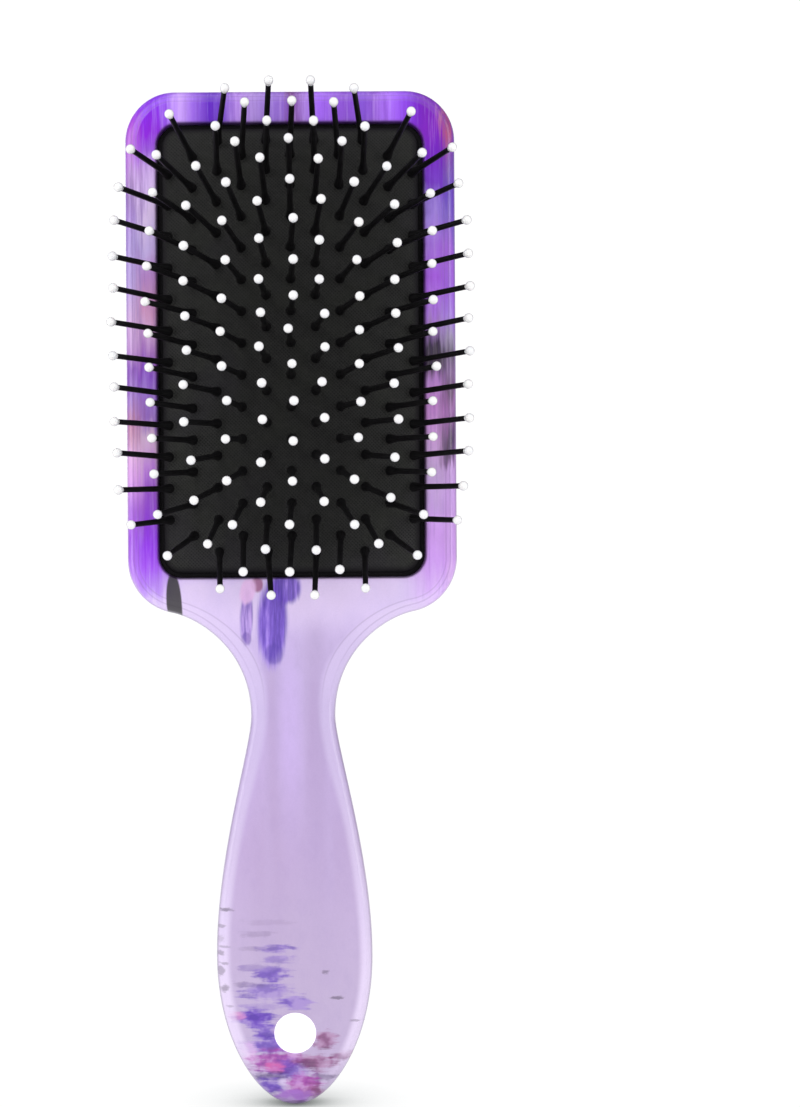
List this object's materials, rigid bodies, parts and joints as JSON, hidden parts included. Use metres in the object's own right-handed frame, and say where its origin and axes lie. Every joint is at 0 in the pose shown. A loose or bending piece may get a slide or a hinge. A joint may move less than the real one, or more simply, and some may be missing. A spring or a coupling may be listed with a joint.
{
  "type": "paddle brush",
  "caption": "Flat paddle hair brush: printed plastic head and handle with a hanging hole, and a domed rubber cushion carrying ball-tipped pins in staggered columns.",
  "frame": {"origin": "centre of the hanging hole, on the parting plane of the two shells", "axes": "+Z from the handle to the head, -Y the way the pins point, +X to the right seen from the pin side"},
  "size_m": [0.0877, 0.0434, 0.2525],
  "materials": {
    "printed_shell": "glossy lilac plastic with an abstract violet and magenta streaked print on the face",
    "tray_plastic": "black moulded plastic",
    "pad_rubber": "charcoal rubber with a fine diagonal texture",
    "pin_nylon": "black nylon, satin",
    "ball_nylon": "white nylon balls"
  },
  "bodies": {
    "root": {"front_shell": "printed_shell", "back_shell": "printed_shell", "cushion_tray": "tray_plastic"},
    "cushion": {"cushion_membrane": "pad_rubber"},
    "pin_col_01": {"pins_col_01": "pin_nylon", "tips_col_01": "ball_nylon"},
    "pin_col_02": {"pins_col_02": "pin_nylon", "tips_col_02": "ball_nylon"},
    "pin_col_03": {"pins_col_03": "pin_nylon", "tips_col_03": "ball_nylon"},
    "pin_col_04": {"pins_col_04": "pin_nylon", "tips_col_04": "ball_nylon"},
    "pin_col_05": {"pins_col_05": "pin_nylon", "tips_col_05": "ball_nylon"},
    "pin_col_06": {"pins_col_06": "pin_nylon", "tips_col_06": "ball_nylon"},
    "pin_col_07": {"pins_col_07": "pin_nylon", "tips_col_07": "ball_nylon"},
    "pin_col_08": {"pins_col_08": "pin_nylon", "tips_col_08": "ball_nylon"},
    "pin_col_09": {"pins_col_09": "pin_nylon", "tips_col_09": "ball_nylon"},
    "pin_col_10": {"pins_col_10": "pin_nylon", "tips_col_10": "ball_nylon"},
    "pin_col_11": {"pins_col_11": "pin_nylon", "tips_col_11": "ball_nylon"}
  },
  "joints": [
    {"name": "cushion_press", "type": "slide", "parent": "root", "child": "cushion", "axis": [0, 1, 0], "range_m": [0, 0.002], "stiffness_N_per_m": 3000, "deforming": ["cushion_membrane"]},
    {"name": "pin_lean_01", "type": "hinge", "parent": "cushion", "child": "pin_col_01", "pos_m": [-0.02985, -0.00713, 0.1695], "axis": [0, 0, 1], "range_deg": [-4, 8], "stiffness_Nm_per_rad": 0.75},
    {"name": "pin_lean_02", "type": "hinge", "parent": "cushion", "child": "pin_col_02", "pos_m": [-0.02388, -0.0093, 0.1695], "axis": [0, 0, 1], "range_deg": [-7, 10], "stiffness_Nm_per_rad": 0.75},
    {"name": "pin_lean_03", "type": "hinge", "parent": "cushion", "child": "pin_col_03", "pos_m": [-0.01791, -0.01053, 0.1695], "axis": [0, 0, 1], "range_deg": [-10, 10], "stiffness_Nm_per_rad": 0.75},
    {"name": "pin_lean_04", "type": "hinge", "parent": "cushion", "child": "pin_col_04", "pos_m": [-0.01194, -0.01171, 0.1695], "axis": [0, 0, 1], "range_deg": [-10, 10], "stiffness_Nm_per_rad": 0.75},
    {"name": "pin_lean_05", "type": "hinge", "parent": "cushion", "child": "pin_col_05", "pos_m": [-0.00597, -0.01176, 0.1695], "axis": [0, 0, 1], "range_deg": [-10, 10], "stiffness_Nm_per_rad": 0.75},
    {"name": "pin_lean_06", "type": "hinge", "parent": "cushion", "child": "pin_col_06", "pos_m": [0, -0.01219, 0.1695], "axis": [0, 0, 1], "range_deg": [-10, 10], "stiffness_Nm_per_rad": 0.75},
    {"name": "pin_lean_07", "type": "hinge", "parent": "cushion", "child": "pin_col_07", "pos_m": [0.00597, -0.01176, 0.1695], "axis": [0, 0, 1], "range_deg": [-10, 10], "stiffness_Nm_per_rad": 0.75},
    {"name": "pin_lean_08", "type": "hinge", "parent": "cushion", "child": "pin_col_08", "pos_m": [0.01194, -0.01171, 0.1695], "axis": [0, 0, 1], "range_deg": [-10, 10], "stiffness_Nm_per_rad": 0.75},
    {"name": "pin_lean_09", "type": "hinge", "parent": "cushion", "child": "pin_col_09", "pos_m": [0.01791, -0.01053, 0.1695], "axis": [0, 0, 1], "range_deg": [-10, 10], "stiffness_Nm_per_rad": 0.75},
    {"name": "pin_lean_10", "type": "hinge", "parent": "cushion", "child": "pin_col_10", "pos_m": [0.02388, -0.0093, 0.1695], "axis": [0, 0, 1], "range_deg": [-10, 7], "stiffness_Nm_per_rad": 0.75},
    {"name": "pin_lean_11", "type": "hinge", "parent": "cushion", "child": "pin_col_11", "pos_m": [0.02985, -0.00713, 0.1695], "axis": [0, 0, 1], "range_deg": [-8, 4], "stiffness_Nm_per_rad": 0.75}
  ]
}
